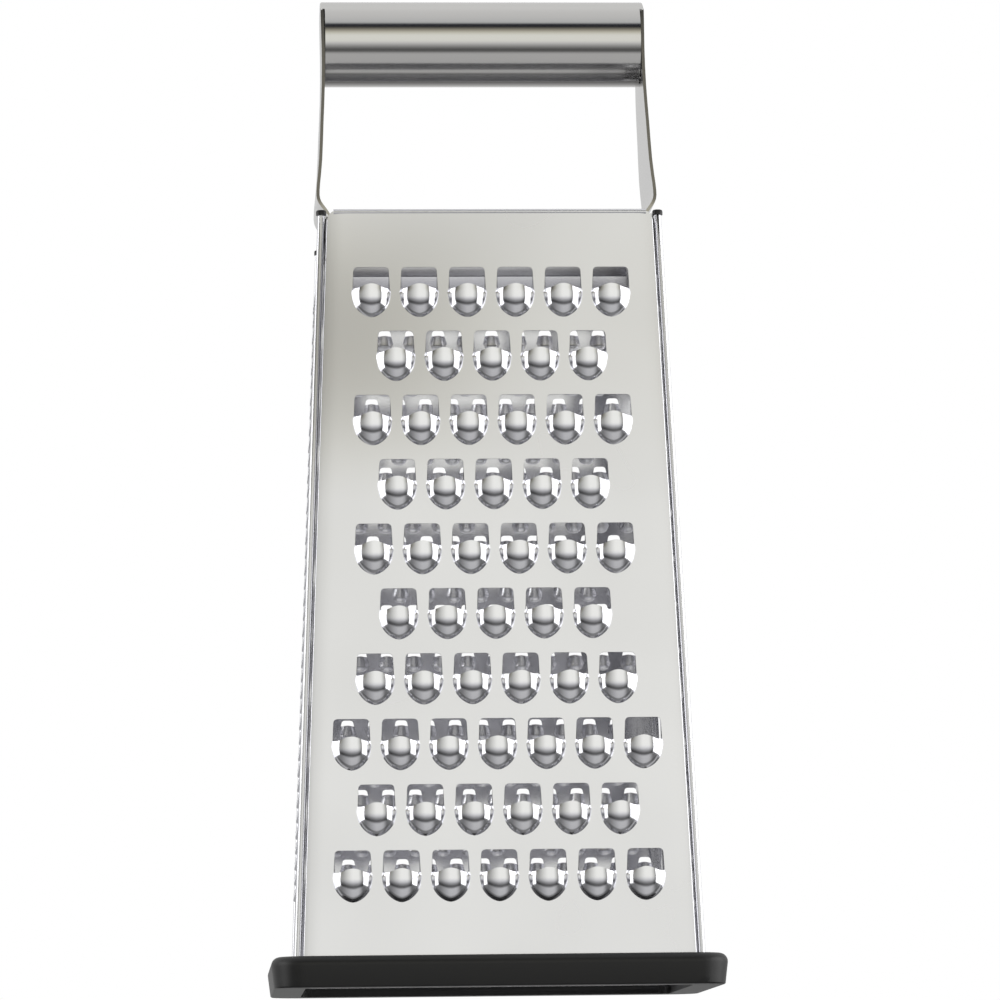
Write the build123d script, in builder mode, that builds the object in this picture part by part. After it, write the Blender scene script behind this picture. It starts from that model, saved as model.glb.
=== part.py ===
from build123d import *
import os
from math import atan2, cos, radians, sin, sqrt, tan

# Four-sided steel box grater with a rolled strap handle and a rubber base ring.
# Millimetres. Z points up, the coarse side faces -Y, and the origin is the middle of
# the underside of the ring, on the surface that the grater stands on.

os.makedirs("parts", exist_ok=True)

# Body, measured over the outer faces of the front and back panels and their flanges
panel_height = 192.1        # foot to rim, upright
foot_width = 97.7
rim_width = 82.4
foot_depth = 74.4
rim_depth = 61.0
sheet = 0.5                 # thickness of the four panels
bend_radius = 1.0           # outside of the bends of the front and back panels
flange_depth = 4.0          # how far those panels reach round the corner
overrun = 1.0               # how far a cut runs past the metal

# Rolled corner beads along the edges of the side panels
seam_gap = 0.1              # flange to side panel, before the spot welds close it
bead_diameter = 1.8
bead_bore = 1.0
bead_sink = 0.05            # the curl stands this far in past the sheet
bead_setback = 2.2          # bead centre behind the face of the front panel
bead_drop = 1.3             # the bead ends this far below the rim
slit_length = 9.0           # the curl gapes open towards its top end
slit_width = 0.5

# Hems rolled inwards along the four rims
hem_diameter = 1.5
hem_proud = 0.15            # the roll stands out from the panel's face
hem_flap = 5.8              # free edge folded down inside
hem_end_gap = 1.6           # front and back hem ends to the side of the panel
side_hem_end_gap = 2.4      # side hem ends to the bead
notch_height = 3.0          # the flange is cut away this far below the rim
notch_inset = 0.5           # where that cut starts, in from the corner

# Coarse scoops of the front panel
coarse_counts = (6, 5, 6, 5, 6, 5, 6, 7, 6, 7)
coarse_pitch = 12.0
coarse_row_pitch = 16.22
coarse_first_row = 14.9     # rim to the top of the first openings, down the slope
coarse_opening_width = 8.8
coarse_opening_height = 5.4
coarse_corner = 1.0
coarse_width = 9.8          # across the dome
coarse_rise = 2.6           # how far the dome stands out
coarse_barrel = 2.9         # length of the dome before it turns down to its tip
coarse_lean = 0.95          # the cutting edge leans up over the opening
coarse_row_gap = 1.5        # plain metal above each row

# Medium scoops of the back panel
medium_row_count = 27
medium_pitch = 7.0
medium_row_pitch = 6.0
medium_first_row = 14.9
medium_margin = 5.4         # outermost dome to the side of the panel
medium_opening_width = 3.6
medium_opening_height = 1.9
medium_corner = 0.6
medium_width = 5.1
medium_rise = 1.3
medium_barrel = 0.6
medium_lean = 0.4
medium_row_gap = 0.5

# Fine burrs of the left panel, each punched out round its own hole
fine_row_count = 39
fine_pitch = 5.6
fine_row_pitch = 4.0
fine_first_row = 17.0
fine_margin = 7.0
burr_base = 3.0
burr_top = 1.9
burr_hole = 1.3
burr_height = 0.9
burr_row_gap = 0.5

# Slicing slots of the right panel
slot_count = 3
slot_pitch = 50.0
slot_first_row = 36.0
slot_width = 42.0
slot_height = 11.0
slot_corner = 1.5
blade_rise = 2.2            # cutting edge above the panel's face
blade_run = 8.5             # length of the ramp that carries the edge
cheek_width = 0.6           # sheet that closes each end of the ramp
slot_row_gap = 10.0

# Handle, one strap whose middle is rolled into a tube
tube_diameter = 21.8
tube_length = 80.8
tube_seam = 0.6
tube_seam_angle = -45.0     # degrees, the seam is behind and below
tube_centre_height = 242.9  # above the surface that the grater stands on
strap_thickness = 0.8
strap_bend = 1.6            # outside of the bend at the top of each leg
slit_drop = 3.4             # below this the tube's ends are free of the legs
leg_span = 83.0             # over the two legs, beside the tube
leg_straight = 5.0          # the legs stay upright this far below the tube's middle
leg_flare_span = 84.4       # over the two legs where they start to bow out
leg_flare_height = 20.0     # above the rim
leg_flare_radius = 90.0
leg_bulge_span = 87.4       # over the two legs where they bow out most
leg_bulge_height = 5.3      # above the rim
leg_bulge_radius = 3.0
leg_neck_height = 1.2       # the strap is in line with its tab from here above the rim
leg_joggle_radius = 3.0
leg_rim_width = 36.0
leg_tab_length = 11.0       # welded to the hem flap inside the rim
leg_tab_corner = 4.0
leg_tab_gap = 0.1

# Base ring, a stretch fit on the foot
ring_height = 7.7
ring_floor = 2.2            # the foot stands on this lip
ring_front_overhang = 5.6   # outside of the ring past the front and back panels
ring_side_overhang = 7.5    # outside of the ring past their flanges, over the beads
ring_corner = 9.0
ring_draft = 7.0            # degrees that the sides lean in towards the floor
ring_top_edge = 2.1
ring_bottom_edge = 0.5
ring_bar = 7.7              # width of the bar that stands on the table
ring_inner_corner = 3.0
ring_clearance = 0.35       # lip to foot
bead_pocket = 4.6           # length of the pocket round each corner bead

# Caps that close the open ends of the corner beads
cap_diameter = 2.5
cap_height = 1.2
cap_edge = 0.4
cap_stem_diameter = 0.9
cap_stem_length = 3.0

foot_height = ring_floor
rim_height = foot_height + panel_height
side_offset = seam_gap + sheet      # outer face of a side panel past the flange
bead_radius = bead_diameter / 2
bead_offset = seam_gap - bead_sink + bead_radius


def half_width(height):
    """Half the width over the flanges at a height above the floor."""
    share = (height - foot_height) / panel_height
    return (foot_width + (rim_width - foot_width) * share) / 2


def half_depth(height):
    """Half the depth over the front and back panels at a height above the floor."""
    share = (height - foot_height) / panel_height
    return (foot_depth + (rim_depth - foot_depth) * share) / 2


def face_plane(across, outward, reach, lean):
    """The outer face of a panel: x across it, y up its slope, z outwards.

    Its origin is the middle of the rim, and lean is the panel's slope in radians.
    """
    normal = outward * cos(lean) + Vector(0, 0, 1) * sin(lean)
    return Plane(outward * reach + Vector(0, 0, rim_height), x_dir=across, z_dir=normal)


front_lean = atan2((foot_depth - rim_depth) / 2, panel_height)
side_lean = atan2((foot_width - rim_width) / 2, panel_height)
side_reach = rim_width / 2 + side_offset
front_plane = face_plane(Vector(1, 0, 0), Vector(0, -1, 0), rim_depth / 2, front_lean)
back_plane = face_plane(Vector(-1, 0, 0), Vector(0, 1, 0), rim_depth / 2, front_lean)
left_plane = face_plane(Vector(0, -1, 0), Vector(-1, 0, 0), side_reach, side_lean)
right_plane = face_plane(Vector(0, 1, 0), Vector(1, 0, 0), side_reach, side_lean)
left_flange_plane = face_plane(Vector(0, -1, 0), Vector(-1, 0, 0), rim_width / 2, side_lean)
right_flange_plane = face_plane(Vector(0, 1, 0), Vector(1, 0, 0), rim_width / 2, side_lean)


def scoop(opening_width, opening_height, corner, width, rise, barrel, lean):
    """The cuts and the dome that make one scoop, in the order in which they are made.

    In their frame x runs across the panel, y up it and z outwards, from the middle of
    the opening's top edge. The dome is a barrel with a round nose, about an axis behind
    the sheet, and its cutting edge leans up over the opening.
    """
    crown = ((width / 2) ** 2 + rise**2) / (2 * rise)
    profile_plane = Plane((0, -opening_height, rise - crown), x_dir=(0, 0, 1), z_dir=(-1, 0, 0))
    axis = Axis(profile_plane.origin, (0, 1, 0))
    opening = opening_prism(opening_width, opening_height, corner)
    solids = []
    for inset, over in ((0, 0), (sheet, sheet / 2)):
        radius = crown - inset
        with BuildPart() as turned:
            with BuildSketch(profile_plane):
                with BuildLine():
                    tip = (0, -barrel - radius)
                    shoulder = (radius, -barrel)
                    top = 2 * lean + over
                    Polyline(tip, (0, top), (radius, top), shoulder)
                    RadiusArc(shoulder, tip, radius)
                make_face()
            revolve(axis=axis)
            cutting_edge = Plane((0, over - opening_height, 0), x_dir=(1, 0, 0), z_dir=(0, rise, -lean))
            split(bisect_by=cutting_edge, keep=Keep.BOTTOM)
            behind = sheet + overrun if inset else sheet / 2
            split(bisect_by=Plane.XY.offset(-behind), keep=Keep.TOP)
        solids.append(turned.part)
    dome, hollow = solids
    return (opening, Mode.SUBTRACT), (dome, Mode.ADD), (hollow, Mode.SUBTRACT)


def pierced(blank, face, rows, row_gap, steps):
    """A blank with one row of cutters after another down its face.

    rows lists the places of each row. The blank is taken in strips, one for each row,
    and row_gap is the metal left between a row and the strip above it.
    """
    above = overrun
    strips = []
    for row, places in enumerate(rows):
        last = row + 1 == len(rows)
        below = -panel_height - sheet - overrun if last else rows[row + 1][0][1] + row_gap
        with BuildPart() as strip:
            add(blank)
            with Locations(face):
                with Locations((0, (above + below) / 2, 0)):
                    Box(2 * foot_width, above - below, foot_width, mode=Mode.INTERSECT)
            for solid, mode in steps:
                with Locations(face):
                    with Locations(*places):
                        add(solid, mode=mode)
        strips.append(strip.part)
        above = below
    with BuildPart() as joined:
        add(strips)
    return joined.part


def burr():
    """One punched burr: the cone pushed out of the sheet, then the hole through it."""
    with BuildPart() as cone:
        with Locations((0, 0, -sheet / 2)):
            Cone(
                burr_base / 2, burr_top / 2, burr_height + sheet / 2,
                align=(Align.CENTER, Align.CENTER, Align.MIN),
            )
    with BuildPart() as hole:
        Cylinder(burr_hole / 2, 2 * (burr_height + sheet + overrun))
    return (cone.part, Mode.ADD), (hole.part, Mode.SUBTRACT)


def opening_prism(width, height, corner):
    """Cut for an opening: round upper corners, square lower ones, hung from y = 0."""
    with BuildPart() as prism:
        with BuildSketch():
            with Locations((0, -(height + corner) / 2)):
                RectangleRounded(width, height + corner, corner)
            with Locations((0, -height / 2)):
                Rectangle(width, height, mode=Mode.INTERSECT)
        extrude(amount=sheet + overrun, both=True)
    return prism.part


def slicer():
    """One slicing slot: its opening, the ramp below it and the hollow under the blade."""
    steep = blade_run / blade_rise
    under = blade_rise - sheet * sqrt(1 + 1 / steep**2)     # underside of the cutting edge
    deep = sheet + overrun
    foot = -slot_height - (under + deep) * steep
    with BuildPart() as ramp:
        with BuildSketch(Plane.YZ):
            Polygon(
                (-slot_height, blade_rise),
                (-slot_height - blade_run, 0),
                (-slot_height - blade_run, -sheet / 2),
                (-slot_height, -sheet / 2),
                align=None,
            )
        extrude(amount=slot_width / 2 + cheek_width, both=True)
    with BuildPart() as hollow:
        with BuildSketch(Plane.YZ):
            Polygon(
                (overrun - slot_height, under),
                (-slot_height, under),
                (foot, -deep),
                (overrun - slot_height, -deep),
                align=None,
            )
        extrude(amount=slot_width / 2, both=True)
    opening = opening_prism(slot_width, slot_height, slot_corner)
    return (opening, Mode.SUBTRACT), (ramp.part, Mode.ADD), (hollow.part, Mode.SUBTRACT)


def row_places(counts, pitch, row_pitch, first_row):
    """The middle of each opening's top edge, one list for each row down a panel."""
    return [
        [((column - (count - 1) / 2) * pitch, -first_row - row * row_pitch) for column in range(count)]
        for row, count in enumerate(counts)
    ]


def staggered_counts(rows, pitch, row_pitch, first_row, half_span):
    """How many cutters fit in each row when every other row is shifted by half a pitch.

    half_span gives the room on each side of the middle at a height above the floor.
    """
    counts = []
    for row in range(rows):
        room = half_span(rim_height - first_row - row * row_pitch)
        pairs = int(room / pitch - (row % 2) / 2)
        counts.append(2 * pairs + 1 + row % 2)
    return counts


def inside_corner(side, inset):
    """All that the front (side -1) or back (side 1) panel wraps, from an inset inwards."""
    face = front_plane if side < 0 else back_plane
    with BuildPart() as wrapped:
        height = panel_height - hem_diameter / 2
        with Locations((0, 0, foot_height)):
            Box(2 * foot_width, 2 * foot_depth, height, align=(Align.CENTER, Align.CENTER, Align.MIN))
        split(bisect_by=face.offset(-inset), keep=Keep.BOTTOM)
        for flange_plane in (left_flange_plane, right_flange_plane):
            split(bisect_by=flange_plane.offset(-inset), keep=Keep.BOTTOM)
        upright = wrapped.edges().filter_by(lambda edge: edge.length > height).group_by(Axis.Y)
        fillet(upright[0 if side < 0 else -1], bend_radius - inset)
    return wrapped.part


def bent_blank(side):
    """Front (side -1) or back (side 1) panel before piercing: flat, two bends, flanges."""
    face = front_plane if side < 0 else back_plane
    half_rim = rim_width / 2
    outside = inside_corner(side, 0)
    inside = inside_corner(side, sheet)
    with BuildPart() as blank:
        add(outside)
        add(inside, mode=Mode.SUBTRACT)
        split(bisect_by=face.offset(-flange_depth), keep=Keep.TOP)
        with BuildSketch(hem_plane(face)) as hem:
            hem_profile()
        extrude(hem.sketch, amount=half_rim - hem_end_gap, both=True)
        for hand in (-1, 1):
            corner = [
                (half_rim - hem_end_gap - hem_diameter / 2, overrun),
                (half_rim - hem_end_gap, -hem_diameter / 2),
                (half_rim - notch_inset, -hem_diameter / 2),
                (half_rim, -notch_height),
                (half_rim + overrun, -notch_height),
                (half_rim + overrun, overrun),
            ]
            with BuildSketch(face) as notch:
                Polygon(*[(hand * x, y) for x, y in corner], align=None)
            extrude(notch.sketch, amount=flange_depth + overrun, both=True, mode=Mode.SUBTRACT)
    return blank.part


def hem_plane(face):
    """Across the rim of a panel: x up its slope, y outwards, from the middle of the rim."""
    return Plane(face.origin, x_dir=face.y_dir, z_dir=face.x_dir)


def hem_profile():
    """The rolled edge of a rim and the flap folded down behind it."""
    roll = hem_diameter / 2
    with Locations((-roll, hem_proud - roll)):
        Circle(roll)
    with Locations((-(roll + hem_flap) / 2, hem_proud - hem_diameter + sheet / 2)):
        Rectangle(hem_flap - roll, sheet)


def bead_centre(side, height):
    """Middle of the right-hand corner bead, at the front (side -1) or the back (side 1)."""
    return Vector(
        half_width(height) + bead_offset,
        side * (half_depth(height) - bead_setback),
        height,
    )


def side_blank():
    """Right-hand side panel before piercing: a flat with a rolled bead on each edge."""
    bead_height = rim_height - bead_drop
    half_hem = rim_depth / 2 - bead_setback - bead_radius - side_hem_end_gap
    slope = panel_height / cos(side_lean)
    spread = (foot_depth - rim_depth) / 2 / slope
    with BuildPart() as blank:
        with BuildSketch(right_plane):
            top = -hem_diameter / 2
            bottom = -slope - sheet
            edge = rim_depth / 2 - bead_setback
            Polygon(
                (-edge + spread * top, top),
                (edge - spread * top, top),
                (edge - spread * bottom, bottom),
                (-edge + spread * bottom, bottom),
                align=None,
            )
        extrude(amount=-sheet)
        split(bisect_by=Plane.XY.offset(foot_height), keep=Keep.TOP)
        with BuildSketch(Plane.XY.offset(bead_height)) as trim:
            Rectangle(2 * foot_width, foot_depth)
            Rectangle(2 * foot_width, 2 * half_hem, mode=Mode.SUBTRACT)
        extrude(trim.sketch, amount=bead_drop, mode=Mode.SUBTRACT)
        with BuildSketch(hem_plane(right_plane)) as hem:
            hem_profile()
        extrude(hem.sketch, amount=half_hem, both=True)
        for side in (-1, 1):
            start = bead_centre(side, foot_height)
            end = bead_centre(side, bead_height)
            run = end - start
            with BuildSketch(Plane.XY.offset(foot_height)) as curl:
                with Locations((start.X, start.Y)):
                    Circle(bead_radius)
            extrude(curl.sketch, amount=run.length, dir=run)
        for side in (-1, 1):
            start = bead_centre(side, foot_height)
            end = bead_centre(side, bead_height)
            run = end - start
            with BuildSketch(Plane.XY.offset(foot_height)) as bore:
                with Locations((start.X, start.Y)):
                    Circle(bead_bore / 2)
            extrude(bore.sketch, amount=run.length, dir=run, mode=Mode.SUBTRACT)
            low = bead_centre(side, bead_height - slit_length)
            with BuildSketch(Plane.XZ) as slit:
                Polygon(
                    (low.X, low.Z),
                    (end.X - slit_width / 2, end.Z + overrun),
                    (end.X + slit_width / 2, end.Z + overrun),
                    align=None,
                )
            far = slit.sketch.moved(Location((0, end.Y, 0)))
            extrude(far, amount=-side * (bead_radius + overrun), mode=Mode.SUBTRACT)
    return blank.part


def write_step(piece, name):
    """Label a finished piece and save it."""
    piece.part.label = name
    export_step(piece.part, f"parts/{name}.step", write_pcurves=False)


# Front panel: ten rows of coarse scoops
coarse_rows = row_places(coarse_counts, coarse_pitch, coarse_row_pitch, coarse_first_row)
coarse_scoop = scoop(
    coarse_opening_width, coarse_opening_height, coarse_corner,
    coarse_width, coarse_rise, coarse_barrel, coarse_lean,
)
coarse_sheet = pierced(bent_blank(-1), front_plane, coarse_rows, coarse_row_gap, coarse_scoop)
with BuildPart() as front_panel:
    add(coarse_sheet)
write_step(front_panel, "front_panel")

# Back panel: closer rows of medium scoops
medium_counts = staggered_counts(
    medium_row_count, medium_pitch, medium_row_pitch, medium_first_row,
    lambda height: half_width(height) - medium_margin,
)
medium_rows = row_places(medium_counts, medium_pitch, medium_row_pitch, medium_first_row)
medium_scoop = scoop(
    medium_opening_width, medium_opening_height, medium_corner,
    medium_width, medium_rise, medium_barrel, medium_lean,
)
medium_sheet = pierced(bent_blank(1), back_plane, medium_rows, medium_row_gap, medium_scoop)
with BuildPart() as back_panel:
    add(medium_sheet)
write_step(back_panel, "back_panel")

# Left panel: fine burrs
fine_counts = staggered_counts(
    fine_row_count, fine_pitch, fine_row_pitch, fine_first_row,
    lambda height: half_depth(height) - fine_margin,
)
fine_rows = row_places(fine_counts, fine_pitch, fine_row_pitch, fine_first_row)
right_blank = side_blank()
left_blank = mirror(right_blank, about=Plane.YZ)
fine_sheet = pierced(left_blank, left_plane, fine_rows, burr_row_gap, burr())
with BuildPart() as left_panel:
    add(fine_sheet)
write_step(left_panel, "left_panel")

# Right panel: three slicing slots
slot_rows = row_places([1] * slot_count, 0, slot_pitch, slot_first_row)
slicing_sheet = pierced(right_blank, right_plane, slot_rows, slot_row_gap, slicer())
with BuildPart() as right_panel:
    add(slicing_sheet)
write_step(right_panel, "right_panel")

# Half of the handle's tube, with the crown that carries the strap round its end
tube_radius = tube_diameter / 2
tube_top = tube_centre_height + tube_radius
slit_height = tube_top - slit_drop
leg_reach = leg_span / 2
with BuildPart() as half_tube:
    with BuildSketch(Plane.XZ) as wall:
        Polygon(
            (0, tube_top),
            (leg_reach, tube_top),
            (leg_reach, tube_centre_height),
            (leg_reach - strap_thickness, tube_centre_height),
            (leg_reach - strap_thickness, tube_top - strap_thickness),
            (0, tube_top - strap_thickness),
            align=None,
        )
        corners = wall.vertices().sort_by(lambda corner: corner.X + corner.Y)
        fillet(corners[-1], strap_bend)
    revolve(axis=Axis((0, 0, tube_centre_height), (1, 0, 0)))
    with BuildSketch(Plane.YZ.offset(tube_length / 2)):
        with Locations((0, slit_height)):
            Rectangle(tube_diameter, 2 * tube_diameter, align=(Align.CENTER, Align.MAX))
    extrude(amount=leg_span, mode=Mode.SUBTRACT)
    with BuildSketch(Plane.YZ):
        with Locations((0, tube_centre_height)):
            with PolarLocations(tube_radius, 1, start_angle=tube_seam_angle):
                Rectangle(2 * (strap_thickness + overrun), tube_seam)
    extrude(amount=leg_span, mode=Mode.SUBTRACT)

# Leg of the handle: the strap's section along its length, trimmed to its outline
tab_inset = (hem_diameter - hem_proud + leg_tab_gap) / cos(side_lean)
neck_height = rim_height + leg_neck_height
tab_foot = rim_height - leg_tab_length
with BuildPart() as leg:
    with BuildSketch(Plane.XZ):
        with BuildLine():
            FilletPolyline(
                (leg_reach, slit_height),
                (leg_reach, tube_centre_height - leg_straight),
                (leg_flare_span / 2, rim_height + leg_flare_height),
                (leg_bulge_span / 2, rim_height + leg_bulge_height),
                (half_width(neck_height) + side_offset - tab_inset, neck_height),
                (half_width(tab_foot) + side_offset - tab_inset, tab_foot),
                radius=(leg_flare_radius, leg_flare_radius, leg_bulge_radius, leg_joggle_radius),
            )
            offset(amount=strap_thickness, side=Side.RIGHT, mode=Mode.ADD)
        make_face()
    extrude(amount=leg_rim_width / 2, both=True)
    crown_half = sqrt(tube_radius**2 - (tube_radius - slit_drop) ** 2)
    with BuildSketch(Plane.YZ) as leg_outline:
        Polygon(
            (crown_half, slit_height),
            (leg_rim_width / 2, rim_height),
            (leg_rim_width / 2, tab_foot),
            (-leg_rim_width / 2, tab_foot),
            (-leg_rim_width / 2, rim_height),
            (-crown_half, slit_height),
            align=None,
        )
        fillet(leg_outline.vertices().group_by(Axis.Y)[0], leg_tab_corner)
    extrude(amount=leg_span, mode=Mode.INTERSECT)

with BuildPart() as handle:
    add(half_tube.part)
    add(leg.part)
    mirror(about=Plane.YZ)
write_step(handle, "handle")

# Caps in the upper ends of the corner beads
for side, end_name in ((-1, "front"), (1, "back")):
    seat = bead_centre(side, rim_height - bead_drop)
    stem_run = bead_centre(side, foot_height) - seat
    with BuildPart() as cap:
        with BuildSketch(Plane.XY.offset(seat.Z)):
            with Locations((seat.X, seat.Y)):
                Circle(cap_diameter / 2)
        extrude(amount=cap_height)
        fillet(cap.edges().group_by(Axis.Z)[-1], cap_edge)
        with BuildSketch(Plane.XY.offset(seat.Z)) as stem:
            with Locations((seat.X, seat.Y)):
                Circle(cap_stem_diameter / 2)
        extrude(stem.sketch, amount=cap_stem_length, dir=stem_run)
    write_step(cap, f"{end_name}_right_cap")
    with BuildPart() as left_cap:
        mirror(cap.part, about=Plane.YZ)
    write_step(left_cap, f"{end_name}_left_cap")

# Base ring: a moulded rubber frame with a lip that the foot stands on
ring_width = foot_width + 2 * ring_side_overhang
ring_depth = foot_depth + 2 * ring_front_overhang
with BuildPart() as base_ring:
    shrink = 2 * ring_height * tan(radians(ring_draft))
    with BuildSketch(Plane.XY.offset(ring_height)):
        RectangleRounded(ring_width, ring_depth, ring_corner)
    extrude(amount=-ring_height, taper=ring_draft)
    fillet(base_ring.edges().group_by(Axis.Z)[-1], ring_top_edge)
    fillet(base_ring.edges().group_by(Axis.Z)[0], ring_bottom_edge)
    with BuildSketch(Plane.XY.offset(ring_floor)):
        room = 2 * ring_clearance
        Rectangle(foot_width + 2 * side_offset + room, foot_depth + room)
        pocket_width = foot_width + 2 * (bead_offset + bead_radius) + room
        Rectangle(pocket_width, foot_depth + room)
        Rectangle(pocket_width, foot_depth + room - 2 * bead_pocket, mode=Mode.SUBTRACT)
        Rectangle(foot_width + 2 * side_offset + room, foot_depth + room - 2 * bead_pocket)
    extrude(amount=ring_height, mode=Mode.SUBTRACT)
    with BuildSketch():
        RectangleRounded(
            ring_width - shrink - 2 * ring_bar, ring_depth - shrink - 2 * ring_bar, ring_inner_corner
        )
    extrude(amount=ring_height, mode=Mode.SUBTRACT)
write_step(base_ring, "base_ring")
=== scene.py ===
import bmesh
import bpy
from math import asin, atan2, cos, pi, radians, sin, sqrt
from mathutils import Euler, Matrix, Vector


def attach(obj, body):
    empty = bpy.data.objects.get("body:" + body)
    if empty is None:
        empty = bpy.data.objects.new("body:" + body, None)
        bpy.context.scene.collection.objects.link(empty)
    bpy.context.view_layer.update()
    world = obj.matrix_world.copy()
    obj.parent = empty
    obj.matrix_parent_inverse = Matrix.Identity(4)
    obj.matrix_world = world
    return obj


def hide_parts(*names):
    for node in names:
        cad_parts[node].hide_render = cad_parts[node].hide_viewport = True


# Steel box grater with a rolled strap handle and a rubber base ring.
# Blender units are metres; sizes in the dictionaries are millimetres.

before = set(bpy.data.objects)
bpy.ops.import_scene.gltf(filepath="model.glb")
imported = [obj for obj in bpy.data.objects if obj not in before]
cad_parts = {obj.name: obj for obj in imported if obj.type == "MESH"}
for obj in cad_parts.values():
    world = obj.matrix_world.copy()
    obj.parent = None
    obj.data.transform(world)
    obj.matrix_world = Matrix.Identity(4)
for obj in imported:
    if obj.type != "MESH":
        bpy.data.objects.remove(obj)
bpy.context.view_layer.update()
mm = 0.001
hair = 0.01         # less than this counts as nothing
weld = 0.02         # points closer than this become one


# Small helpers

def linearColour(hexCode, alpha=1.0):
    # sRGB hex to the linear values that Blender's sockets take
    parts = [int(hexCode[i:i + 2], 16) / 255 for i in (1, 3, 5)]
    return tuple(p / 12.92 if p <= 0.04045 else ((p + 0.055) / 1.055) ** 2.4 for p in parts) + (alpha,)


def addNode(tree, kind, links=None, values=None, **settings):
    # a node with its settings, its socket values and its incoming links
    node = tree.nodes.new(kind)
    for name, value in settings.items():
        setattr(node, name, value)
    for name, value in (values or {}).items():
        node.inputs[name].default_value = value
    for name, socket in (links or {}).items():
        tree.links.new(socket, node.inputs[name])
    return node


def newMaterial(name):
    material = bpy.data.materials.new(name)
    material.use_nodes = True
    material.node_tree.nodes.clear()
    return material, material.node_tree


def takeMesh(bm, name):
    mesh = bpy.data.meshes.new(name)
    bm.to_mesh(mesh)
    bm.free()
    return mesh


def finishPiece(name, bm, body, node, materials, smoothAngle=30):
    # bmesh to a shaded object that rides on its body and stands for its CAD node
    mesh = takeMesh(bm, name)
    for polygon in mesh.polygons:
        polygon.use_smooth = True
    mesh.set_sharp_from_angle(angle=radians(smoothAngle))
    for material in materials:
        mesh.materials.append(material)
    piece = bpy.data.objects.new(name, mesh)
    bpy.context.scene.collection.objects.link(piece)
    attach(piece, body)
    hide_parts(node)


def mergedCopy(nodeName):
    # a CAD node's loose triangles joined into one surface
    bm = bmesh.new()
    bm.from_mesh(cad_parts[nodeName].data)
    bmesh.ops.remove_doubles(bm, verts=bm.verts, dist=hair * mm)
    return bm


def vertsIn(geom):
    return [item for item in geom if isinstance(item, bmesh.types.BMVert)]


def edgesIn(geom):
    return [item for item in geom if isinstance(item, bmesh.types.BMEdge)]


def faceOutward(bm, outwardness):
    # all faces the same way round, and that way outward
    bmesh.ops.recalc_face_normals(bm, faces=bm.faces)
    if sum(outwardness(face) * face.calc_area() for face in bm.faces) < 0:
        bmesh.ops.reverse_faces(bm, faces=bm.faces)


# Materials

steelLook = {
    "sheetColour": "#E5E5E9", "strapColour": "#CDCCCA",
    "satinRoughness": 0.26, "brightRoughness": 0.13, "roughnessDrift": 0.08, "driftScale": 25.0,
    "grainWidth": 0.35,       # brushing lines, drawn coarser than real so that they show
    "grainScaleAlong": 6.0, "satinGrain": 0.006, "brightGrain": 0.0015, "grainStrength": 0.35,
    # the sheet falls back near the rim, most at the left
    "bowDepth": 5.5, "bowFrom": 120, "bowTo": 200, "bowLeft": -38, "bowRight": 25, "bowLeast": 0.3,
}


def addBow(tree, coords):
    # the slow curve that pressing leaves in thin sheet, strongest towards one upper corner
    parts = addNode(tree, "ShaderNodeSeparateXYZ", {"Vector": coords.outputs["Object"]})
    rise = addNode(tree, "ShaderNodeMapRange", {"Value": parts.outputs["Z"]},
                   {"From Min": steelLook["bowFrom"] * mm, "From Max": steelLook["bowTo"] * mm},
                   interpolation_type="SMOOTHSTEP")
    side = addNode(tree, "ShaderNodeMapRange", {"Value": parts.outputs["X"]},
                   {"From Min": steelLook["bowLeft"] * mm, "From Max": steelLook["bowRight"] * mm,
                    "To Min": 1.0, "To Max": steelLook["bowLeast"]}, interpolation_type="SMOOTHSTEP")
    fall = addNode(tree, "ShaderNodeMath", {0: rise.outputs["Result"], 1: side.outputs["Result"]},
                   operation="MULTIPLY")
    return addNode(tree, "ShaderNodeBump", {"Height": fall.outputs["Value"]},
                   {"Strength": 1.0, "Distance": steelLook["bowDepth"] * mm}, invert=True)


def makeSteel(name, colour, roughness, grainDepth, bowed=False):
    # 18/8 stainless: neutral grey metal, the finish set by its roughness and grain
    material, tree = newMaterial(name)
    coords = addNode(tree, "ShaderNodeTexCoord")
    fine = 1 / (steelLook["grainWidth"] * mm)
    stretch = addNode(tree, "ShaderNodeMapping", {"Vector": coords.outputs["Object"]},
                      {"Scale": (fine, fine, steelLook["grainScaleAlong"])})
    grain = addNode(tree, "ShaderNodeTexNoise", {"Vector": stretch.outputs["Vector"]},
                    {"Scale": 1.0, "Detail": 3.0, "Roughness": 0.6})
    bump = addNode(tree, "ShaderNodeBump", {"Height": grain.outputs["Fac"]},
                   {"Strength": steelLook["grainStrength"], "Distance": grainDepth * mm})
    if bowed:
        tree.links.new(addBow(tree, coords).outputs["Normal"], bump.inputs["Normal"])
    cloud = addNode(tree, "ShaderNodeTexNoise", {"Vector": coords.outputs["Object"]},
                    {"Scale": steelLook["driftScale"], "Detail": 2.0})
    drift = steelLook["roughnessDrift"]
    rough = addNode(tree, "ShaderNodeMapRange", {"Value": cloud.outputs["Fac"]},
                    {"From Min": 0.3, "From Max": 0.7,
                     "To Min": roughness * (1 - drift), "To Max": roughness * (1 + drift)})
    shader = addNode(tree, "ShaderNodeBsdfPrincipled",
                     {"Normal": bump.outputs["Normal"], "Roughness": rough.outputs["Result"]},
                     {"Base Color": linearColour(colour), "Metallic": 1.0})
    addNode(tree, "ShaderNodeOutputMaterial", {"Surface": shader.outputs["BSDF"]})
    return material


rubberLook = {"colour": "#0E0E0F", "roughness": 0.45, "skinScale": 2000, "detail": 4.0,
              "skinStrength": 0.3, "skinDepth": 0.02}
# the plugs' black is painted shade: it stands for the dark at the top of each bead
plugShadeLook = {"colour": "#151515", "roughness": 0.35, "skinScale": 3000, "detail": 2.0,
               "skinStrength": 0.2, "skinDepth": 0.01}


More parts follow.
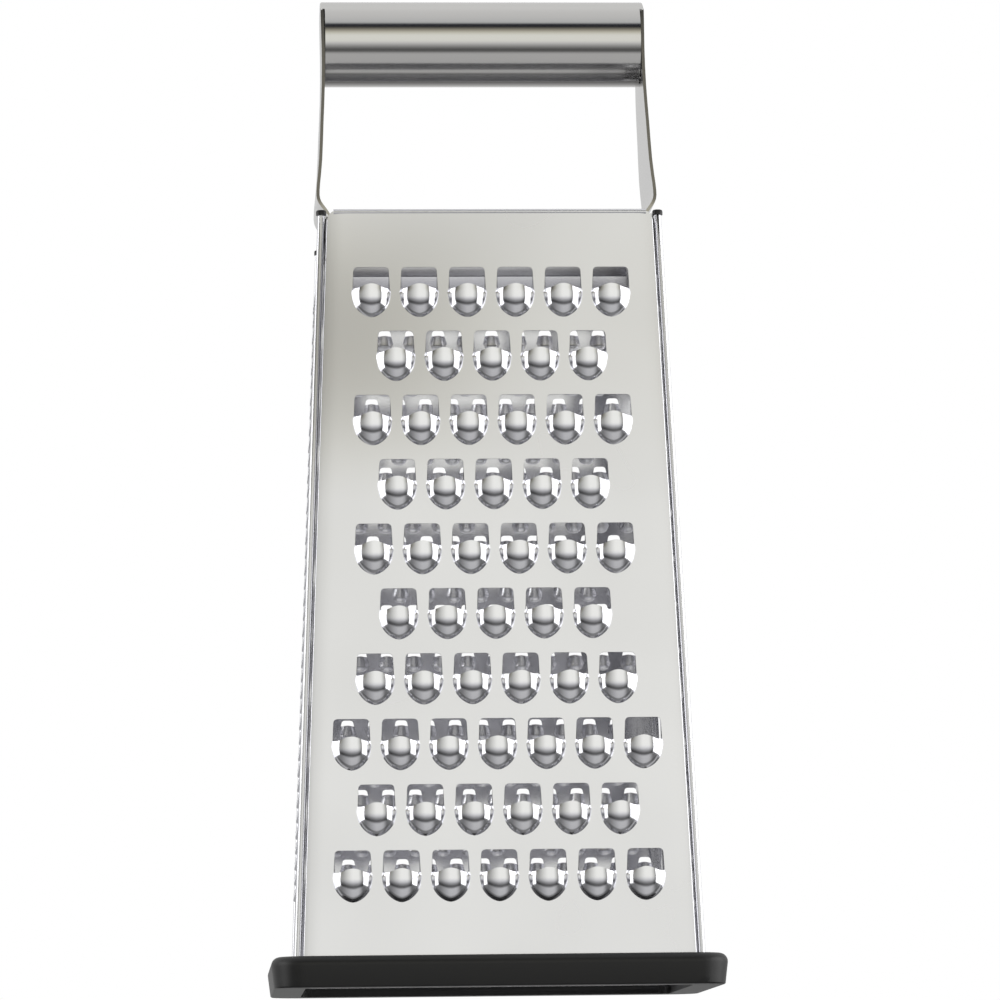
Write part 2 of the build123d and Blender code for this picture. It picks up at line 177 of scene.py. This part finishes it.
def makeMoulded(name, look):
    # a moulded part: plain black with the faint skin of its mould
    material, tree = newMaterial(name)
    coords = addNode(tree, "ShaderNodeTexCoord")
    skin = addNode(tree, "ShaderNodeTexNoise", {"Vector": coords.outputs["Object"]},
                   {"Scale": look["skinScale"], "Detail": look["detail"]})
    bump = addNode(tree, "ShaderNodeBump", {"Height": skin.outputs["Fac"]},
                   {"Strength": look["skinStrength"], "Distance": look["skinDepth"] * mm})
    shader = addNode(tree, "ShaderNodeBsdfPrincipled", {"Normal": bump.outputs["Normal"]},
                     {"Base Color": linearColour(look["colour"]), "Roughness": look["roughness"]})
    addNode(tree, "ShaderNodeOutputMaterial", {"Surface": shader.outputs["BSDF"]})
    return material


# brushed faces: soft grey sheen with a slow gradient
satinSheet = makeSteel("satin stainless sheet", steelLook["sheetColour"], steelLook["satinRoughness"],
                       steelLook["satinGrain"], bowed=True)
# drawn scoops and mill-finish insides: clearer reflections
brightSheet = makeSteel("bright stainless sheet", steelLook["sheetColour"], steelLook["brightRoughness"],
                        steelLook["brightGrain"])
# the handle: mirror bands of dark and cream
polishedStrap = makeSteel("polished stainless strap", steelLook["strapColour"], steelLook["brightRoughness"],
                          steelLook["brightGrain"])
# the ring: soft black with a fine spark-eroded skin
blackRubber = makeMoulded("black TPR rubber", rubberLook)
# the corner plugs: black, slightly glossy; their black is painted shade for the dark at the top of each bead
capShadeBlack = makeMoulded("black plug, painted shade", plugShadeLook)
print("materials made")


# Panels

bodyLook = {
    "footHeight": 2.2, "rimHeight": 194.3,
    "footWidth": 97.7, "rimWidth": 82.4, "footDepth": 74.4, "rimDepth": 61.0,
    "sheet": 0.5, "flange": 4.0, "edgeGap": 0.4, "seam": 0.1, "smoothAngle": 28,
    "bend": 0.35, "bendSteps": 6, "easeTurn": 10, "easeSteps": 4,
    "bead": 1.8, "rearBead": 1.2, "beadBack": 2.2, "beadDrop": 1.3, "beadSteps": 16, "beadWall": 0.4,
    "beadGape": 0.5, "gapeLength": 9.0,
    "hem": 1.5, "hemProud": 0.15, "hemSteps": 18, "hemEnd": 1.6, "sideHemEnd": 2.4, "flap": 6.6, "flapEdge": 0.12,
    "notch": 3.0, "notchIn": 0.5, "notchReach": 0.2,
}
bodyHeight = bodyLook["rimHeight"] - bodyLook["footHeight"]
frontLean = atan2((bodyLook["footDepth"] - bodyLook["rimDepth"]) / 2, bodyHeight)
sideLean = atan2((bodyLook["footWidth"] - bodyLook["rimWidth"]) / 2, bodyHeight)


def halfWidth(height):
    share = (height - bodyLook["footHeight"]) / bodyHeight
    return (bodyLook["footWidth"] + (bodyLook["rimWidth"] - bodyLook["footWidth"]) * share) / 2


def halfDepth(height):
    share = (height - bodyLook["footHeight"]) / bodyHeight
    return (bodyLook["footDepth"] + (bodyLook["rimDepth"] - bodyLook["footDepth"]) * share) / 2


def panelFrame(across, outward, reach, lean):
    # millimetres on a panel's face (x across, y up its slope, z out, from the middle of its rim) to metres
    z = outward * cos(lean) + Vector((0, 0, 1)) * sin(lean)
    y = z.cross(across)
    turn = Matrix((across, y, z)).transposed().to_4x4()
    rim = outward * reach + Vector((0, 0, bodyLook["rimHeight"]))
    return Matrix.Scale(mm, 4) @ Matrix.Translation(rim) @ turn


def staggeredCounts(look, halfSpan):
    # how many cutters fit in each row when every other row is shifted by half a pitch
    counts = []
    for row in range(look["rows"]):
        height = bodyLook["rimHeight"] - look["firstRow"] - row * look["rowPitch"]
        room = halfSpan(height) - look["margin"]
        counts.append(2 * int(room / look["pitch"] - (row % 2) / 2) + 1 + row % 2)
    return counts


def rowPlaces(counts, look):
    # the middle of each opening's top edge
    return [((column - (count - 1) / 2) * look["pitch"], -look["firstRow"] - row * look["rowPitch"])
            for row, count in enumerate(counts) for column in range(count)]


def makeScoop(look):
    # one scoop on the face z = 0: the dome as a bent grid, and the outline of its opening
    half, mouth, rise = look["domeWidth"] / 2, look["openingWidth"] / 2, look["rise"]
    crown = (half ** 2 + rise ** 2) / (2 * rise)
    shoulder = -look["openingHeight"] - look["barrel"]      # here the barrel turns down to the nose
    nose = look["tip"] + shoulder
    levels = look["levels"]
    bm = bmesh.new()
    bmesh.ops.create_grid(bm, x_segments=look["columns"], y_segments=len(levels) - 1, size=1.0)
    for vert in bm.verts:
        level = levels[round((1 - vert.co.y) / 2 * (len(levels) - 1))]
        across = min(1, max(-1, sin(vert.co.x * asin(half / crown)) * crown / half))
        down = max(0, level)
        arch = sqrt(crown ** 2 - half ** 2 * (across ** 2 + (1 - across ** 2) * down ** 2)) - crown + rise
        outline = shoulder - nose * sqrt(max(0, 1 - abs(across) ** look["point"]))
        lip = look["lean"] * (1 - across ** 2) * (1 - look["lipDroop"] * across ** 2) - look["openingHeight"]
        y = shoulder + (lip - shoulder) * -level if level < 0 else shoulder + (outline - shoulder) * level
        narrow = max(0, min(1, (y - shoulder) / look["barrel"])) ** 3       # the dome closes in on the opening
        vert.co = (across * (half - (half - mouth) / 2 * narrow), y, max(0, arch))
    bmesh.ops.remove_doubles(bm, verts=bm.verts, dist=weld)
    for face in bm.faces:
        face.material_index = look["finish"]
    ears = sorted((v for v in bm.verts if v.co.y > -look["openingHeight"] - hair and v.co.z < hair),
                  key=lambda v: v.co.x)
    top = [bm.verts.new((x, 0, 0)) for x in (-mouth, mouth)]
    for a, b in ((ears[0], top[0]), (top[0], top[1]), (top[1], ears[-1])):
        bm.edges.new((a, b))
    bmesh.ops.bevel(bm, geom=top, offset=look["corner"], affect="VERTICES", segments=look["cornerSteps"],
                    profile=0.5, material=-1)
    return takeMesh(bm, "scoop")


def flatWithHoles(corners, template, places):
    # the panel's flat face, filled round a copy of the template at each place
    bm = bmesh.new()
    for x, y in places:
        start = len(bm.verts)
        bm.from_mesh(template)
        bm.verts.ensure_lookup_table()
        bmesh.ops.translate(bm, verts=bm.verts[start:], vec=(x, y, 0))
    outer = [bm.verts.new((*corner, 0)) for corner in corners]
    sides = [bm.edges.new((a, b)) for a, b in zip(outer, outer[1:] + outer[:1])]
    rims = [e for e in bm.edges if (e.is_wire or e.is_boundary) and all(abs(v.co.z) < 1e-4 for v in e.verts)]
    bmesh.ops.triangle_fill(bm, use_beauty=True, use_dissolve=False, edges=rims, normal=(0, 0, 1))
    return bm, sides


def thickenSheet(bm):
    # one open sheet with its faces outwards, then its thickness inwards
    faceOutward(bm, lambda face: face.normal.z)
    bmesh.ops.solidify(bm, geom=bm.faces[:], thickness=bodyLook["sheet"])
    for face in bm.faces:
        if face.normal.z < -0.99:                       # the sheet keeps its mill finish inside
            face.material_index = 1


def addHem(bm, halfLength):
    # the rolled rim and the flap folded down behind it
    roll, sheet = bodyLook["hem"] / 2, bodyLook["sheet"]
    lie = Matrix.Translation((0, -roll, bodyLook["hemProud"] - roll)) @ Matrix.Rotation(pi / 2, 4, "Y")
    bmesh.ops.create_cone(bm, cap_ends=True, segments=bodyLook["hemSteps"], radius1=roll, radius2=roll,
                          depth=2 * halfLength, matrix=lie)
    middle = (0, -(roll + bodyLook["flap"]) / 2, bodyLook["hemProud"] - bodyLook["hem"] + sheet / 2)
    size = (2 * halfLength, bodyLook["flap"] - roll, sheet)
    lie = Matrix.Translation(middle) @ Matrix.Diagonal((*size, 1))
    flap = bmesh.ops.create_cube(bm, matrix=lie)["verts"]
    edges = {edge for vert in flap for edge in vert.link_edges}
    bmesh.ops.bevel(bm, geom=list(edges), offset=bodyLook["flapEdge"], affect="EDGES", segments=2,
                    profile=0.5, material=-1)


def makeBentPanel(name, node, look, counts, face):
    # front or back: flat, a gentle curve, a bend and a flange down each side, hem along the rim
    top = -bodyLook["hem"] / 2
    slope = bodyHeight / cos(frontLean)
    spread = (bodyLook["footWidth"] - bodyLook["rimWidth"]) / 2 / slope
    bend, turn = bodyLook["bend"], radians(bodyLook["easeTurn"])
    wide = look["ease"] / turn                          # radius of the gentle curve
    edgeRoom = wide * sin(turn) + bend * (1 - sin(turn))
    halfRim = bodyLook["rimWidth"] / 2 - bodyLook["edgeGap"]
    flatRim = halfRim - edgeRoom - spread * top
    flatFoot = halfRim - edgeRoom + spread * slope
    corners = [(-flatRim, top), (flatRim, top), (flatFoot, -slope), (-flatFoot, -slope)]
    bm, sides = flatWithHoles(corners, makeScoop(look), rowPlaces(counts, look))
    for edge, hand in ((sides[1], 1), (sides[3], -1)):
        upper, lower = sorted(edge.verts, key=lambda v: -v.co.y)
        along = (upper.co - lower.co).normalized()
        eased = edgesIn(bmesh.ops.spin(bm, geom=[edge, upper, lower], cent=upper.co - Vector((0, 0, wide)), axis=along,
                                       angle=hand * turn, steps=bodyLook["easeSteps"])["geom_last"])
        tight = eased[0].verts[0].co - bend * Vector((hand * sin(turn), 0, cos(turn)))
        last = edgesIn(bmesh.ops.spin(bm, geom=eased + list(eased[0].verts), cent=tight, axis=along,
                                      angle=hand * (pi / 2 - turn), steps=bodyLook["bendSteps"])["geom_last"])
        flange = bmesh.ops.extrude_edge_only(bm, edges=last)["geom"]
        bmesh.ops.translate(bm, verts=vertsIn(flange), vec=(0, 0, -bodyLook["flange"] - last[0].verts[0].co.z))
    start = halfRim - bodyLook["notchIn"]
    for vert in bm.verts:                               # the rim's corners are cut away over the beads
        if abs(vert.co.x) > start and vert.co.y > top - bodyLook["notchReach"]:
            share = min(1, (abs(vert.co.x) - start) / bodyLook["notchIn"])
            drop = share * (bodyLook["notch"] + top)
            vert.co.y -= drop
            vert.co.x += drop * spread * (1 if vert.co.x > 0 else -1)
    thickenSheet(bm)
    addHem(bm, halfRim - bodyLook["hemEnd"])
    bm.transform(face)
    finishPiece(name, bm, "grater", node, [satinSheet, brightSheet], bodyLook["smoothAngle"])


def makeBead(x, top, bottom, spread, hand, radius):
    # the curled edge: a circle left open, its gap widening towards the rim
    lift = radius - bodyLook["sheet"]
    bm = bmesh.new()
    seed = bm.verts.new((x + hand * radius, top, lift))
    bmesh.ops.spin(bm, geom=[seed], cent=(x, top, lift), axis=(0, 1, 0), angle=2 * pi, steps=bodyLook["beadSteps"])
    ends = sorted((v for v in bm.verts if len(v.link_edges) == 1), key=lambda v: v.index)
    edges, done = bm.edges[:], set(bm.verts)
    for low in (top - bodyLook["gapeLength"], bottom):
        high = sum(e.verts[0].co.y for e in edges) / len(edges)
        made = edgesIn(bmesh.ops.extrude_edge_only(bm, edges=edges)["geom"])
        edges = [e for e in made if not done.intersection(e.verts)]
        moved = {v for e in edges for v in e.verts}
        bmesh.ops.translate(bm, verts=list(moved), vec=(hand * spread * (high - low), low - high, 0))
        done |= moved
    for vert, way in zip(ends, (1, -1)):
        vert.co.z += way * bodyLook["beadGape"] / 2
    centre = Vector((x + hand * spread * (top - bottom) / 2, 0, lift))
    faceOutward(bm, lambda face: (face.calc_center_median() - centre).dot(face.normal))
    bmesh.ops.solidify(bm, geom=bm.faces[:], thickness=bodyLook["beadWall"])
    return takeMesh(bm, "bead")


def makeFlatPanel(name, node, template, places, face, frontHand):
    # side panel: flat, a bead down each edge, hem along the middle of the rim
    slope = bodyHeight / cos(sideLean)
    spread = (bodyLook["footDepth"] - bodyLook["rimDepth"]) / 2 / slope
    halfRim = bodyLook["rimDepth"] / 2 - bodyLook["beadBack"]
    halfHem = halfRim - bodyLook["bead"] / 2 - bodyLook["sideHemEnd"]
    top, low = -bodyLook["hem"] / 2, -bodyLook["beadDrop"]
    foot = halfRim + spread * slope
    outline = [(-halfRim, low), (-halfHem, low), (-halfHem, top), (halfHem, top), (halfHem, low), (halfRim, low),
               (foot, -slope), (-foot, -slope)]
    bm, sides = flatWithHoles(outline, template, places)
    thickenSheet(bm)
    for hand in (-1, 1):
        radius = (bodyLook["bead"] if hand == frontHand else bodyLook["rearBead"]) / 2
        bm.from_mesh(makeBead(hand * halfRim, low, -slope, spread, hand, radius))
    addHem(bm, halfHem)
    bm.transform(face)
    finishPiece(name, bm, "grater", node, [satinSheet, brightSheet], bodyLook["smoothAngle"])


halfRimDepth = bodyLook["rimDepth"] / 2
sideReach = bodyLook["rimWidth"] / 2 + bodyLook["seam"] + bodyLook["sheet"]
frontFace = panelFrame(Vector((1, 0, 0)), Vector((0, -1, 0)), halfRimDepth, frontLean)
backFace = panelFrame(Vector((-1, 0, 0)), Vector((0, 1, 0)), halfRimDepth, frontLean)
leftFace = panelFrame(Vector((0, -1, 0)), Vector((-1, 0, 0)), sideReach, sideLean)
rightFace = panelFrame(Vector((0, 1, 0)), Vector((1, 0, 0)), sideReach, sideLean)

coarseLook = {
    "pitch": 12.0, "rowPitch": 16.22, "firstRow": 14.9, "counts": (6, 5, 6, 5, 6, 5, 6, 7, 6, 7),
    "openingWidth": 8.8, "openingHeight": 5.4, "corner": 1.0, "cornerSteps": 3,
    "domeWidth": 9.8, "rise": 2.6, "lean": 0.75, "lipDroop": 3.0, "barrel": 1.5, "tip": 12.8, "point": 1.7,
    "columns": 16, "levels": (-1, -0.5, 0, 0.2, 0.4, 0.6, 0.8, 0.92, 1), "finish": 1, "ease": 4.0,
}
makeBentPanel("coarse_sheet", "front_panel", coarseLook, coarseLook["counts"], frontFace)
print("coarse side made")

mediumLook = {
    "pitch": 7.0, "rowPitch": 6.0, "firstRow": 14.9, "rows": 27, "margin": 5.4,
    "openingWidth": 2.6, "openingHeight": 1.5, "corner": 0.5, "cornerSteps": 2,
    "domeWidth": 5.1, "rise": 1.2, "lean": 0.3, "lipDroop": 0.5, "barrel": 2.1, "tip": 5.7, "point": 2.0,
    "columns": 6, "levels": (-1, 0, 0.5, 1), "finish": 0, "ease": 1.2,
}
makeBentPanel("medium_sheet", "back_panel", mediumLook, staggeredCounts(mediumLook, halfWidth), backFace)
print("medium side made")

fineLook = {"pitch": 5.6, "rowPitch": 4.0, "firstRow": 17.0, "rows": 39, "margin": 7.0,
            "base": 3.0, "top": 1.9, "height": 0.9, "steps": 10}


def makeBurr(look):
    # a hole with its torn edge pushed out into a short cone
    bm = bmesh.new()
    bmesh.ops.create_circle(bm, segments=look["steps"], radius=look["base"] / 2)
    edge = vertsIn(bmesh.ops.extrude_edge_only(bm, edges=bm.edges[:])["geom"])
    bmesh.ops.scale(bm, verts=edge, vec=(look["top"] / look["base"],) * 2 + (1,))
    bmesh.ops.translate(bm, verts=edge, vec=(0, 0, look["height"]))
    for face in bm.faces:
        face.material_index = 1
    return takeMesh(bm, "burr")


finePlaces = rowPlaces(staggeredCounts(fineLook, halfDepth), fineLook)
makeFlatPanel("fine_sheet", "left_panel", makeBurr(fineLook), finePlaces, leftFace, frontHand=1)
print("fine side made")

slotLook = {"pitch": 0.0, "rowPitch": 50.0, "firstRow": 36.0, "rows": 3,
            "width": 42.0, "height": 11.0, "corner": 1.5, "cornerSteps": 4, "rise": 2.2, "run": 8.5, "cheek": 0.6}


def makeSlicer(look):
    # a slot with the ramp that carries its cutting edge and a cheek at each end of it
    half, high, cheek = look["width"] / 2, look["height"], look["cheek"]
    columns = (-half - cheek, -half, half, half + cheek)
    bm = bmesh.new()
    bmesh.ops.create_grid(bm, x_segments=len(columns) - 1, y_segments=1, size=1.0)
    for vert in bm.verts:
        column = round((vert.co.x + 1) / 2 * (len(columns) - 1))
        raised = look["rise"] if vert.co.y > 0 and column in (1, 2) else 0
        vert.co = (columns[column], -high if vert.co.y > 0 else -high - look["run"], raised)
    for face in bm.faces:
        face.material_index = 1
    ears = sorted((v for v in bm.verts if abs(v.co.y + high) < hair and v.co.z == 0), key=lambda v: v.co.x)
    turns = [bm.verts.new(p) for p in ((-half, -high, 0), (-half, 0, 0), (half, 0, 0), (half, -high, 0))]
    path = [ears[0], *turns, ears[-1]]
    for a, b in zip(path, path[1:]):
        bm.edges.new((a, b))
    bmesh.ops.bevel(bm, geom=turns[1:3], offset=look["corner"], affect="VERTICES", segments=look["cornerSteps"],
                    profile=0.5, material=-1)
    return takeMesh(bm, "slicer")


slotPlaces = rowPlaces([1] * slotLook["rows"], slotLook)
makeFlatPanel("slicing_sheet", "right_panel", makeSlicer(slotLook), slotPlaces, rightFace, frontHand=-1)
print("slicing side made")


# Handle, caps and ring

handleLook = {
    "tube": 21.8, "length": 80.8, "middle": 242.9, "strap": 0.8, "steps": 48, "smoothAngle": 35,
    "seamTurn": -135, "seamHalf": 1.875,        # degrees: the seam's place, and half its opening
    "slit": 3.4, "reach": 41.5, "edge": 0.4, "rimDepth": 36.0,
    # the outer line of a leg: height above the floor, distance from the middle
    "leg": ((246, 41.45), (240, 41.35), (235, 41.35), (230, 41.45), (225, 41.65), (220, 41.9), (215, 42.1),
            (210, 42.35), (206, 42.7), (203.5, 42.98), (201.6, 43.12), (200.3, 43.14), (199.2, 42.98),
            (198.2, 42.58), (197.3, 42.0), (196.4, 41.35), (195.5, 40.75), (194.8, 40.43), (194.0, 40.36),
            (190, 40.52), (183.3, 40.79)),
}


def makeHandle(look):
    # one strap: a tube rolled from its middle, and at each end a leg that turns down from the tube's crown
    radius, middle = look["tube"] / 2, look["middle"]
    slitHeight = middle + radius - look["slit"]
    gap = radians(look["seamHalf"])
    bm = bmesh.new()
    seed = bm.verts.new((-look["length"] / 2, 0, middle + radius))
    bmesh.ops.rotate(bm, verts=[seed], cent=(0, 0, middle),
                     matrix=Matrix.Rotation(radians(look["seamTurn"]) + gap, 3, "X"))
    bmesh.ops.spin(bm, geom=[seed], cent=(0, 0, middle), axis=(1, 0, 0), angle=2 * pi - 2 * gap, steps=look["steps"])
    leftEnd = bm.edges[:]
    wall = bmesh.ops.extrude_edge_only(bm, edges=leftEnd)["geom"]
    bmesh.ops.translate(bm, verts=vertsIn(wall), vec=(look["length"], 0, 0))
    rightEnd = [e for e in edgesIn(wall) if all(v.co.x > 0 for v in e.verts)]
    for hand, rim in ((-1, leftEnd), (1, rightEnd)):
        edges = [e for e in rim if all(v.co.z > slitHeight - look["edge"] / 4 for v in e.verts)]
        crown = bmesh.ops.extrude_edge_only(bm, edges=edges)["geom"]
        bmesh.ops.translate(bm, verts=vertsIn(crown), vec=(hand * look["reach"] - hand * look["length"] / 2, 0, 0))
        brow = [e for e in edgesIn(crown) if abs(e.verts[0].co.x - e.verts[1].co.x) < hair]
        slitHalf = max(v.co.y for e in brow for v in e.verts)
        edges, rowWide = brow, 1
        for height, reach in ((slitHeight, look["reach"]), *look["leg"]):
            row = bmesh.ops.extrude_edge_only(bm, edges=edges)["geom"]
            share = min(1, (slitHeight - height) / (slitHeight - bodyLook["rimHeight"]))
            wide = (slitHalf + (look["rimDepth"] / 2 - slitHalf) * share) / slitHalf
            for vert in vertsIn(row):
                vert.co = (hand * reach, vert.co.y * wide / rowWide, height)
            rowWide = wide
            edges = [e for e in edgesIn(row) if all(abs(v.co.z - height) < hair for v in e.verts)]
        bmesh.ops.bevel(bm, geom=[e for e in brow if e.is_valid], offset=look["edge"], affect="EDGES", segments=2,
                        profile=0.5, material=-1)
    bmesh.ops.remove_doubles(bm, verts=bm.verts, dist=weld)
    faceOutward(bm, lambda face: face.normal.z * (face.calc_center_median().z - middle))
    bmesh.ops.solidify(bm, geom=bm.faces[:], thickness=look["strap"])
    bmesh.ops.scale(bm, verts=bm.verts, vec=(mm, mm, mm))
    finishPiece("strap_handle", bm, "grater", "handle", [polishedStrap], look["smoothAngle"])


makeHandle(handleLook)

capLook = {"width": 2.6, "rearWidth": 1.7, "height": 1.3, "steps": 20, "crown": 0.45, "crownSteps": 4,
           "stem": 0.9, "stemLength": 3.0, "stemSteps": 12}


def makeCap(node, hand, side, look):
    # a plug with a domed head, pushed into the end of a bead; its black is painted shade for the dark at the bead's
    # top
    rear = side > 0
    radius, stem = look["rearWidth" if rear else "width"] / 2, look["stem"] / 2
    bead = bodyLook["rearBead" if rear else "bead"] / 2
    height = bodyLook["rimHeight"] - bodyLook["beadDrop"]
    place = (hand * (halfWidth(height) + bodyLook["seam"] + bead),
             side * (halfDepth(height) - bodyLook["beadBack"]), height)
    bm = bmesh.new()
    bmesh.ops.create_cone(bm, cap_ends=True, segments=look["steps"], radius1=radius, radius2=radius,
                          depth=look["height"], matrix=Matrix.Translation((0, 0, look["height"] / 2)))
    top = [e for e in bm.edges if all(v.co.z > look["height"] - hair for v in e.verts)]
    bmesh.ops.bevel(bm, geom=top, offset=look["crown"], affect="EDGES", segments=look["crownSteps"],
                    profile=0.5, material=-1)
    bmesh.ops.create_cone(bm, cap_ends=True, segments=look["stemSteps"], radius1=stem, radius2=stem,
                          depth=look["stemLength"], matrix=Matrix.Translation((0, 0, -look["stemLength"] / 2)))
    bmesh.ops.translate(bm, verts=bm.verts, vec=place)
    bmesh.ops.scale(bm, verts=bm.verts, vec=(mm, mm, mm))
    finishPiece(node + "_shade_plug", bm, "grater", node, [capShadeBlack])


for end, side in (("front", -1), ("back", 1)):
    for word, hand in (("left", -1), ("right", 1)):
        makeCap(f"{end}_{word}_cap", hand, side, capLook)
finishPiece("rubber_ring", mergedCopy("base_ring"), "ring", "base_ring", [blackRubber])
print("handle, caps and ring made")


# Studio

studio = {
    "cameraPlace": (-72.3, -1286.5, -41.7), "cameraTurn": (97.354, 0.707, -3.276), "lens": 183.6, "sensor": 36,
    "floorColour": "#E9E9E8", "floorHalf": 3000, "floorDrop": 0.3,
    # brightness round the room in degrees, from straight ahead of the coarse side (0) up and over
    "bands": ((-180, 0.7), (-165, 0.55), (-150, 0.36), (-137, 0.18), (-110, 0.13), (-97, 0.2), (-93, 0.48),
              (-83, 0.5), (-79, 0.2), (-66, 0.2), (-62, 0.5), (-36, 0.53), (-33, 0.35), (-29, 0.1), (-24, 0.1),
              (-19, 0.24), (-14, 0.4), (-9, 0.62), (-4, 0.84), (0, 0.94), (14, 0.94), (19, 0.82), (24, 0.62),
              (29, 0.36), (35, 0.12), (38, 0.015), (46, 0.015), (51, 0.6), (70, 0.7), (110, 0.8), (180, 0.6)),
    # its tint at some of those places
    "tints": {-4: (1, 1, 0.97), 0: (1, 1, 0.94), 14: (1, 1, 0.94), 19: (1, 0.99, 0.88), 24: (1, 0.97, 0.82),
              29: (1, 0.94, 0.76), 35: (1, 0.97, 0.85), 38: (0.9, 1, 1.3), 46: (0.8, 0.9, 1.6), 51: (1, 1.02, 1.03)},
    # and across the front, from its left side (-1) to its right side (1)
    "sweep": ((-1, 0.3), (-0.77, 0.37), (-0.63, 0.52), (-0.48, 0.68), (-0.33, 0.8), (-0.17, 0.92), (0, 1.0),
              (0.45, 1.0), (0.56, 0.86), (0.63, 0.7), (0.71, 0.42), (0.78, 0.3), (1, 0.3)),
    "sweepFade": 0.3, "strength": 1.1,
    # metres and watts: place, width, height, power
    "softboxes": {"left softbox": ((-1.0, -0.22, 0.15), 0.6, 0.9, 3.4),
                  "right softbox": ((1.0, -0.2, 0.15), 1.1, 0.9, 6.2)},
    "aim": (0, -0.1, 0.12),
}


def makeFloor():
    # a pale sheet that takes the shadow, and from below lets the light of the room through
    bm = bmesh.new()
    bmesh.ops.create_grid(bm, x_segments=1, y_segments=1, size=studio["floorHalf"] * mm)
    floor = bpy.data.objects.new("floor", takeMesh(bm, "floor"))
    floor.location.z = -studio["floorDrop"] * mm
    floor.visible_glossy = False
    bpy.context.scene.collection.objects.link(floor)
    material, tree = newMaterial("matt pale floor")
    geometry = addNode(tree, "ShaderNodeNewGeometry")
    matt = addNode(tree, "ShaderNodeBsdfDiffuse", values={"Color": linearColour(studio["floorColour"])})
    clear = addNode(tree, "ShaderNodeBsdfTransparent")
    side = addNode(tree, "ShaderNodeMixShader", {"Fac": geometry.outputs["Backfacing"], 1: matt.outputs["BSDF"],
                                                 2: clear.outputs["BSDF"]})   # the camera looks from below it
    addNode(tree, "ShaderNodeOutputMaterial", {"Surface": side.outputs["Shader"]})
    floor.data.materials.append(material)


def addRamp(tree, share, stops, tints=None):
    # grey or tinted levels along a share from 0 to 1
    ramp = addNode(tree, "ShaderNodeValToRGB", {"Fac": share})
    while len(ramp.color_ramp.elements) < len(stops):
        ramp.color_ramp.elements.new(0.5)
    for element, (place, level) in zip(ramp.color_ramp.elements, stops):
        element.position = place
        element.color = (*(level * part for part in (tints or {}).get(place, (1, 1, 1))), 1)
    return ramp.outputs["Color"]


def makeWorld():
    # bands of light and dark round the grater, as in a studio with large cards and flags
    world = bpy.data.worlds.new("studio")
    bpy.context.scene.world = world
    world.use_nodes = True
    tree = world.node_tree
    tree.nodes.clear()
    coords = addNode(tree, "ShaderNodeTexCoord")
    split = addNode(tree, "ShaderNodeSeparateXYZ", {"Vector": coords.outputs["Generated"]})
    ahead = addNode(tree, "ShaderNodeMath", {0: split.outputs["Y"]}, {1: -1.0}, operation="MULTIPLY")
    turn = addNode(tree, "ShaderNodeMath", {0: split.outputs["Z"], 1: ahead.outputs["Value"]}, operation="ARCTAN2")
    share = addNode(tree, "ShaderNodeMapRange", {"Value": turn.outputs["Value"]}, {"From Min": -pi, "From Max": pi})
    bands = addRamp(tree, share.outputs["Result"], [(angle / 360 + 0.5, level) for angle, level in studio["bands"]],
                    {angle / 360 + 0.5: tint for angle, tint in studio["tints"].items()})
    side = addNode(tree, "ShaderNodeMapRange", {"Value": split.outputs["X"]}, {"From Min": -1.0})
    sweep = addRamp(tree, side.outputs["Result"], [((x + 1) / 2, level) for x, level in studio["sweep"]])
    near = addNode(tree, "ShaderNodeMapRange", {"Value": ahead.outputs["Value"]},
                   {"From Min": 0.0, "From Max": studio["sweepFade"]})
    toned = addNode(tree, "ShaderNodeMix", {"Factor": near.outputs["Result"], "A": bands, "B": sweep},
                    data_type="RGBA", blend_type="MULTIPLY")
    light = addNode(tree, "ShaderNodeBackground", {"Color": toned.outputs["Result"]}, {"Strength": studio["strength"]})
    white = addNode(tree, "ShaderNodeBackground", values={"Color": (1, 1, 1, 1), "Strength": 1.0})
    rays = addNode(tree, "ShaderNodeLightPath")
    mix = addNode(tree, "ShaderNodeMixShader", {"Fac": rays.outputs["Is Camera Ray"], 1: light.outputs["Background"],
                                                2: white.outputs["Background"]})
    addNode(tree, "ShaderNodeOutputWorld", {"Surface": mix.outputs["Shader"]})


def makeSoftbox(name, place, width, height, power):
    lamp = bpy.data.lights.new(name, "AREA")
    lamp.shape = "RECTANGLE"
    lamp.size, lamp.size_y = width, height
    lamp.energy = power
    box = bpy.data.objects.new(name, lamp)
    box.location = place
    box.rotation_euler = (Vector(studio["aim"]) - Vector(place)).to_track_quat("-Z", "Y").to_euler()
    box.visible_camera = False
    bpy.context.scene.collection.objects.link(box)


makeFloor()
makeWorld()
for name, (place, width, height, power) in studio["softboxes"].items():
    makeSoftbox(name, place, width, height, power)

camera = bpy.data.objects.new("camera", bpy.data.cameras.new("camera"))
camera.data.lens = studio["lens"]
camera.data.sensor_width = studio["sensor"]
camera.data.clip_end = 20
camera.location = Vector(studio["cameraPlace"]) * mm
camera.rotation_euler = Euler([radians(a) for a in studio["cameraTurn"]], "XYZ")
bpy.context.scene.collection.objects.link(camera)
bpy.context.scene.camera = camera
bpy.context.scene.view_settings.view_transform = "Standard"
print("studio set")
